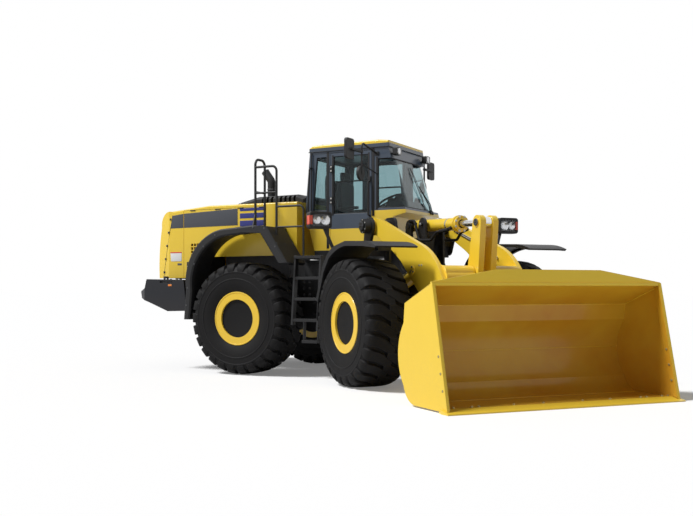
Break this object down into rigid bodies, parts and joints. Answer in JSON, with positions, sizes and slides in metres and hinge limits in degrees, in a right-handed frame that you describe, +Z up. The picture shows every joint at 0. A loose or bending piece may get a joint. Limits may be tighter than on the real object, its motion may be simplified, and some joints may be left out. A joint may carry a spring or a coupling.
{
  "type": "articulated wheel loader",
  "caption": "Articulated wheel loader with lifting boom, tilting bucket, hollow cab, opening engine covers and free-turning wheels.",
  "frame": {"origin": "on the ground under the middle of the machine's box as parked, turned to the right stop", "axes": "+X forward along the rear frame, +Y to its left, +Z up"},
  "size_m": [8.4374, 5.6642, 3.53],
  "materials": {
    "body_yellow": "semi-gloss enamel",
    "frame_black": "satin enamel",
    "counterweight_grey": "painted casting",
    "cab_navy": "satin enamel",
    "glass": "tinted safety glass",
    "tyre": "ribbed rubber",
    "rim_yellow": "enamel",
    "steel": "worn steel",
    "chrome": "plated rod",
    "plastic_black": "moulded",
    "fabric": "woven seat cloth",
    "cast": "unpainted block",
    "lamp": "lamp housing"
  },
  "bodies": {
    "chassis": {"rear_axle": "frame_black", "rear_frame": "frame_black", "counterweight": "counterweight_grey", "hood": "body_yellow", "hood_top_cover": "cab_navy", "radiator": "cast", "engine": "cast", "transmission": "cast", "exhaust_stack": "frame_black", "rear_fenders": "counterweight_grey", "steps": "frame_black", "handrails": "frame_black", "cab_lower": "body_yellow", "cab_frame": "cab_navy", "cab_base": "frame_black", "cab_roof": "body_yellow", "cab_glass": "glass", "seat": "fabric", "steering_column": "plastic_black", "console": "plastic_black", "mirrors": "frame_black", "roof_lights": "lamp"},
    "cab_door_left": {"cab_door_left": "cab_navy", "door_glass_left": "glass"},
    "cab_door_right": {"cab_door_right": "cab_navy", "door_glass_right": "glass"},
    "engine_door_left": {"engine_door_left": "body_yellow"},
    "engine_door_right": {"engine_door_right": "body_yellow"},
    "rear_grille": {"rear_grille": "frame_black"},
    "front_end": {"front_frame": "frame_black", "front_axle": "frame_black", "front_fenders": "frame_black", "headlights": "frame_black"},
    "boom": {"boom": "body_yellow"},
    "tilt_lever": {"tilt_lever": "frame_black"},
    "bucket_link": {"bucket_link": "frame_black"},
    "bucket": {"bucket": "body_yellow", "cutting_edge": "steel"},
    "lift_barrels": {"lift_barrels": "body_yellow"},
    "lift_rods": {"lift_rods": "chrome"},
    "tilt_barrel": {"tilt_barrel": "body_yellow", "tilt_hoses": "plastic_black"},
    "tilt_rod": {"tilt_rod": "chrome"},
    "steer_barrel_left": {"steer_barrel_left": "frame_black"},
    "steer_rod_left": {"steer_rod_left": "chrome"},
    "steer_barrel_right": {"steer_barrel_right": "frame_black"},
    "steer_rod_right": {"steer_rod_right": "chrome"},
    "wheel_front_left": {"tyre_front_left": "tyre", "rim_front_left": "rim_yellow"},
    "wheel_front_right": {"tyre_front_right": "tyre", "rim_front_right": "rim_yellow"},
    "wheel_rear_left": {"tyre_rear_left": "tyre", "rim_rear_left": "rim_yellow"},
    "wheel_rear_right": {"tyre_rear_right": "tyre", "rim_rear_right": "rim_yellow"}
  },
  "joints": [
    {"name": "steering", "type": "hinge", "parent": "chassis", "child": "front_end", "pos_m": [-0.424, 1.222, 1.055], "axis": [0, 0, 1], "range_deg": [0, 74]},
    {"name": "wheel_front_left", "type": "hinge", "parent": "front_end", "child": "wheel_front_left", "pos_m": [1.64573, 1.1023, 0.86], "axis": [0.6018, 0.7986, 0], "continuous": true},
    {"name": "wheel_front_right", "type": "hinge", "parent": "front_end", "child": "wheel_front_right", "pos_m": [0.26156, -0.73456, 0.86], "axis": [0.6018, 0.7986, 0], "continuous": true},
    {"name": "wheel_rear_left", "type": "hinge", "parent": "chassis", "child": "wheel_rear_left", "pos_m": [-2.149, 2.372, 0.86], "axis": [0, 1, 0], "continuous": true},
    {"name": "wheel_rear_right", "type": "hinge", "parent": "chassis", "child": "wheel_rear_right", "pos_m": [-2.149, 0.072, 0.86], "axis": [0, 1, 0], "continuous": true},
    {"name": "boom_lift", "type": "hinge", "parent": "front_end", "child": "boom", "pos_m": [0.35866, 0.63222, 2.21], "axis": [-0.6018, -0.7986, 0], "range_deg": [0, 83]},
    {"name": "bucket_tilt", "type": "hinge", "parent": "boom", "child": "bucket", "pos_m": [2.19552, -0.75195, 0.43], "axis": [0.6018, 0.7986, 0], "range_deg": [-45, 128]},
    {"name": "tilt_lever_swing", "type": "hinge", "parent": "boom", "child": "tilt_lever", "pos_m": [1.79621, -0.45105, 1.45], "axis": [-0.6018, -0.7986, 0], "range_deg": [-11.48, 30.81]},
    {"name": "bucket_link_swing", "type": "hinge", "parent": "bucket", "child": "bucket_link", "pos_m": [2.29695, -0.82838, 0.745], "axis": [-0.6018, -0.7986, 0], "range_deg": [-33.49, 93.42]},
    {"name": "lift_cylinder_swing", "type": "hinge", "parent": "front_end", "child": "lift_barrels", "pos_m": [0.18296, 0.76462, 1.1], "axis": [-0.6018, -0.7986, 0], "range_deg": [-1, 47.4]},
    {"name": "lift_cylinder_slide", "type": "slide", "parent": "lift_barrels", "child": "lift_rods", "axis": [0.7565, -0.5701, 0.3204], "range_m": [-0.005, 0.9534]},
    {"name": "tilt_cylinder_swing", "type": "hinge", "parent": "front_end", "child": "tilt_barrel", "pos_m": [0.47047, 0.54797, 2.22], "axis": [-0.6018, -0.7986, 0], "range_deg": [-1, 88.63]},
    {"name": "tilt_cylinder_slide", "type": "slide", "parent": "tilt_barrel", "child": "tilt_rod", "axis": [0.7982, -0.6015, -0.0341], "range_m": [-0.369, 0.133]},
    {"name": "steer_swing_left", "type": "hinge", "parent": "chassis", "child": "steer_barrel_left", "pos_m": [-1.144, 1.722, 1], "axis": [0, 0, 1], "range_deg": [-1, 30.15]},
    {"name": "steer_slide_left", "type": "slide", "parent": "steer_barrel_left", "child": "steer_rod_left", "axis": [0.9517, -0.307, 0], "range_m": [-0.601, 0.005]},
    {"name": "steer_swing_right", "type": "hinge", "parent": "chassis", "child": "steer_barrel_right", "pos_m": [-1.144, 0.722, 1], "axis": [0, 0, 1], "range_deg": [-1, 30.15]},
    {"name": "steer_slide_right", "type": "slide", "parent": "steer_barrel_right", "child": "steer_rod_right", "axis": [0.9807, -0.1955, 0], "range_m": [-0.005, 0.601]},
    {"name": "cab_door_left", "type": "hinge", "parent": "chassis", "child": "cab_door_left", "pos_m": [-0.969, 1.876, 2.6], "axis": [0, 0, 1], "range_deg": [0, 90]},
    {"name": "engine_door_left", "type": "hinge", "parent": "chassis", "child": "engine_door_left", "pos_m": [-2.524, 2.08, 2.608], "axis": [1, 0, 0], "range_deg": [0, 85]},
    {"name": "cab_door_right", "type": "hinge", "parent": "chassis", "child": "cab_door_right", "pos_m": [-0.969, 0.568, 2.6], "axis": [0, 0, -1], "range_deg": [0, 90]},
    {"name": "engine_door_right", "type": "hinge", "parent": "chassis", "child": "engine_door_right", "pos_m": [-2.524, 0.364, 2.608], "axis": [-1, 0, 0], "range_deg": [0, 85]},
    {"name": "rear_grille", "type": "hinge", "parent": "chassis", "child": "rear_grille", "pos_m": [-4.204, 1.846, 1.95], "axis": [0, 0, -1], "range_deg": [0, 110]}
  ],
  "couplings": [
    {"joint": "tilt_lever_swing", "follows": "bucket_tilt", "ratio": 0.23289},
    {"joint": "bucket_link_swing", "follows": "bucket_tilt", "ratio": 0.72203},
    {"joint": "lift_cylinder_swing", "follows": "boom_lift", "ratio": 0.55909},
    {"joint": "lift_cylinder_slide", "follows": "boom_lift", "m_per_rad": 0.65466},
    {"joint": "tilt_cylinder_swing", "follows": "boom_lift", "ratio": 1.0558},
    {"joint": "tilt_cylinder_slide", "follows": "bucket_tilt", "m_per_rad": -0.16292},
    {"joint": "steer_swing_left", "follows": "steering", "ratio": 0.39394},
    {"joint": "steer_slide_left", "follows": "steering", "m_per_rad": -0.46144},
    {"joint": "steer_swing_right", "follows": "steering", "ratio": 0.39394},
    {"joint": "steer_slide_right", "follows": "steering", "m_per_rad": 0.46144}
  ]
}
